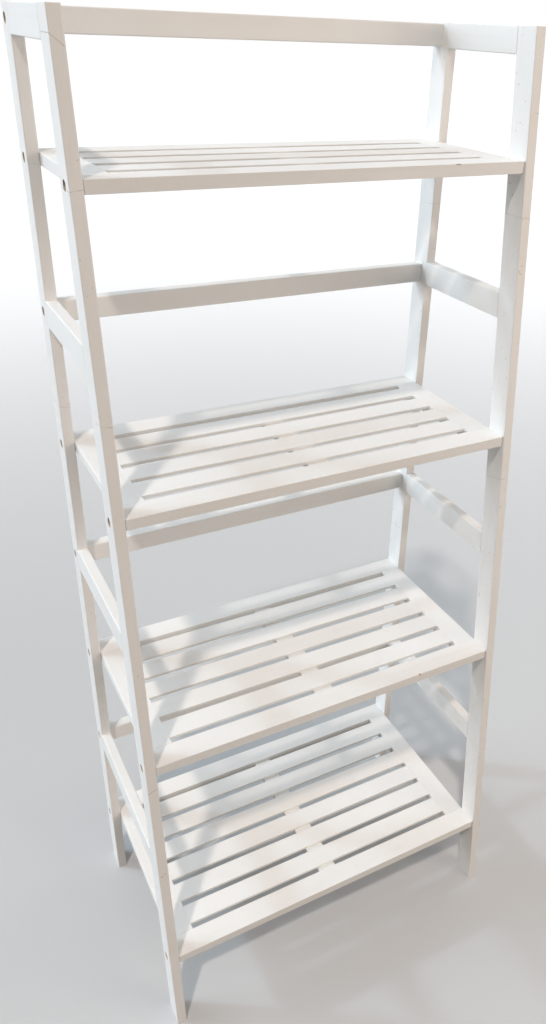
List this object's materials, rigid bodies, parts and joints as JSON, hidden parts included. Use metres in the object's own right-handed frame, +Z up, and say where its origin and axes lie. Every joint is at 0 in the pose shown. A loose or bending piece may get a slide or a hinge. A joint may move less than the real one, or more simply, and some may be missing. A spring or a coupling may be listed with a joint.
{
  "type": "slatted ladder etagere",
  "caption": "White-painted wooden ladder etagere: leaning front legs, upright rear legs, slim back rails and open slatted shelves that deepen towards the floor.",
  "frame": {"origin": "on the floor, in the middle of the footprint's bounding box", "axes": "+Z up, +Y towards the back and the upright legs, +X to the right of someone who faces the shelves"},
  "size_m": [0.6, 0.364, 1.425],
  "materials": {
    "painted_wood": "satin",
    "steel": "satin"
  },
  "bodies": {
    "root": {"back_rail_screws": "steel", "left_front_leg": "painted_wood", "left_lower_side_rail": "painted_wood", "left_middle_side_rail": "painted_wood", "left_rear_leg": "painted_wood", "left_top_side_rail": "painted_wood", "left_upper_side_rail": "painted_wood", "lower_back_rail": "painted_wood", "lower_shelf_batten": "painted_wood", "lower_shelf_front_rail": "painted_wood", "lower_shelf_left_end": "painted_wood", "lower_shelf_rear_rail": "painted_wood", "lower_shelf_right_end": "painted_wood", "lower_shelf_slat_1": "painted_wood", "lower_shelf_slat_2": "painted_wood", "lower_shelf_slat_3": "painted_wood", "lower_shelf_slat_4": "painted_wood", "lower_shelf_slat_5": "painted_wood", "lower_shelf_slat_6": "painted_wood", "middle_back_rail": "painted_wood", "middle_shelf_batten": "painted_wood", "middle_shelf_front_rail": "painted_wood", "middle_shelf_left_end": "painted_wood", "middle_shelf_rear_rail": "painted_wood", "middle_shelf_right_end": "painted_wood", "middle_shelf_slat_1": "painted_wood", "middle_shelf_slat_2": "painted_wood", "middle_shelf_slat_3": "painted_wood", "middle_shelf_slat_4": "painted_wood", "middle_shelf_slat_5": "painted_wood", "right_front_leg": "painted_wood", "right_lower_side_rail": "painted_wood", "right_middle_side_rail": "painted_wood", "right_rear_leg": "painted_wood", "right_top_side_rail": "painted_wood", "right_upper_side_rail": "painted_wood", "shelf_screws": "steel", "top_back_rail": "painted_wood", "top_shelf_batten": "painted_wood", "top_shelf_front_rail": "painted_wood", "top_shelf_left_end": "painted_wood", "top_shelf_rear_rail": "painted_wood", "top_shelf_right_end": "painted_wood", "top_shelf_slat_1": "painted_wood", "top_shelf_slat_2": "painted_wood", "top_shelf_slat_3": "painted_wood", "upper_back_rail": "painted_wood", "upper_shelf_batten": "painted_wood", "upper_shelf_front_rail": "painted_wood", "upper_shelf_left_end": "painted_wood", "upper_shelf_rear_rail": "painted_wood", "upper_shelf_right_end": "painted_wood", "upper_shelf_slat_1": "painted_wood", "upper_shelf_slat_2": "painted_wood", "upper_shelf_slat_3": "painted_wood", "upper_shelf_slat_4": "painted_wood"}
  },
  "joints": []
}
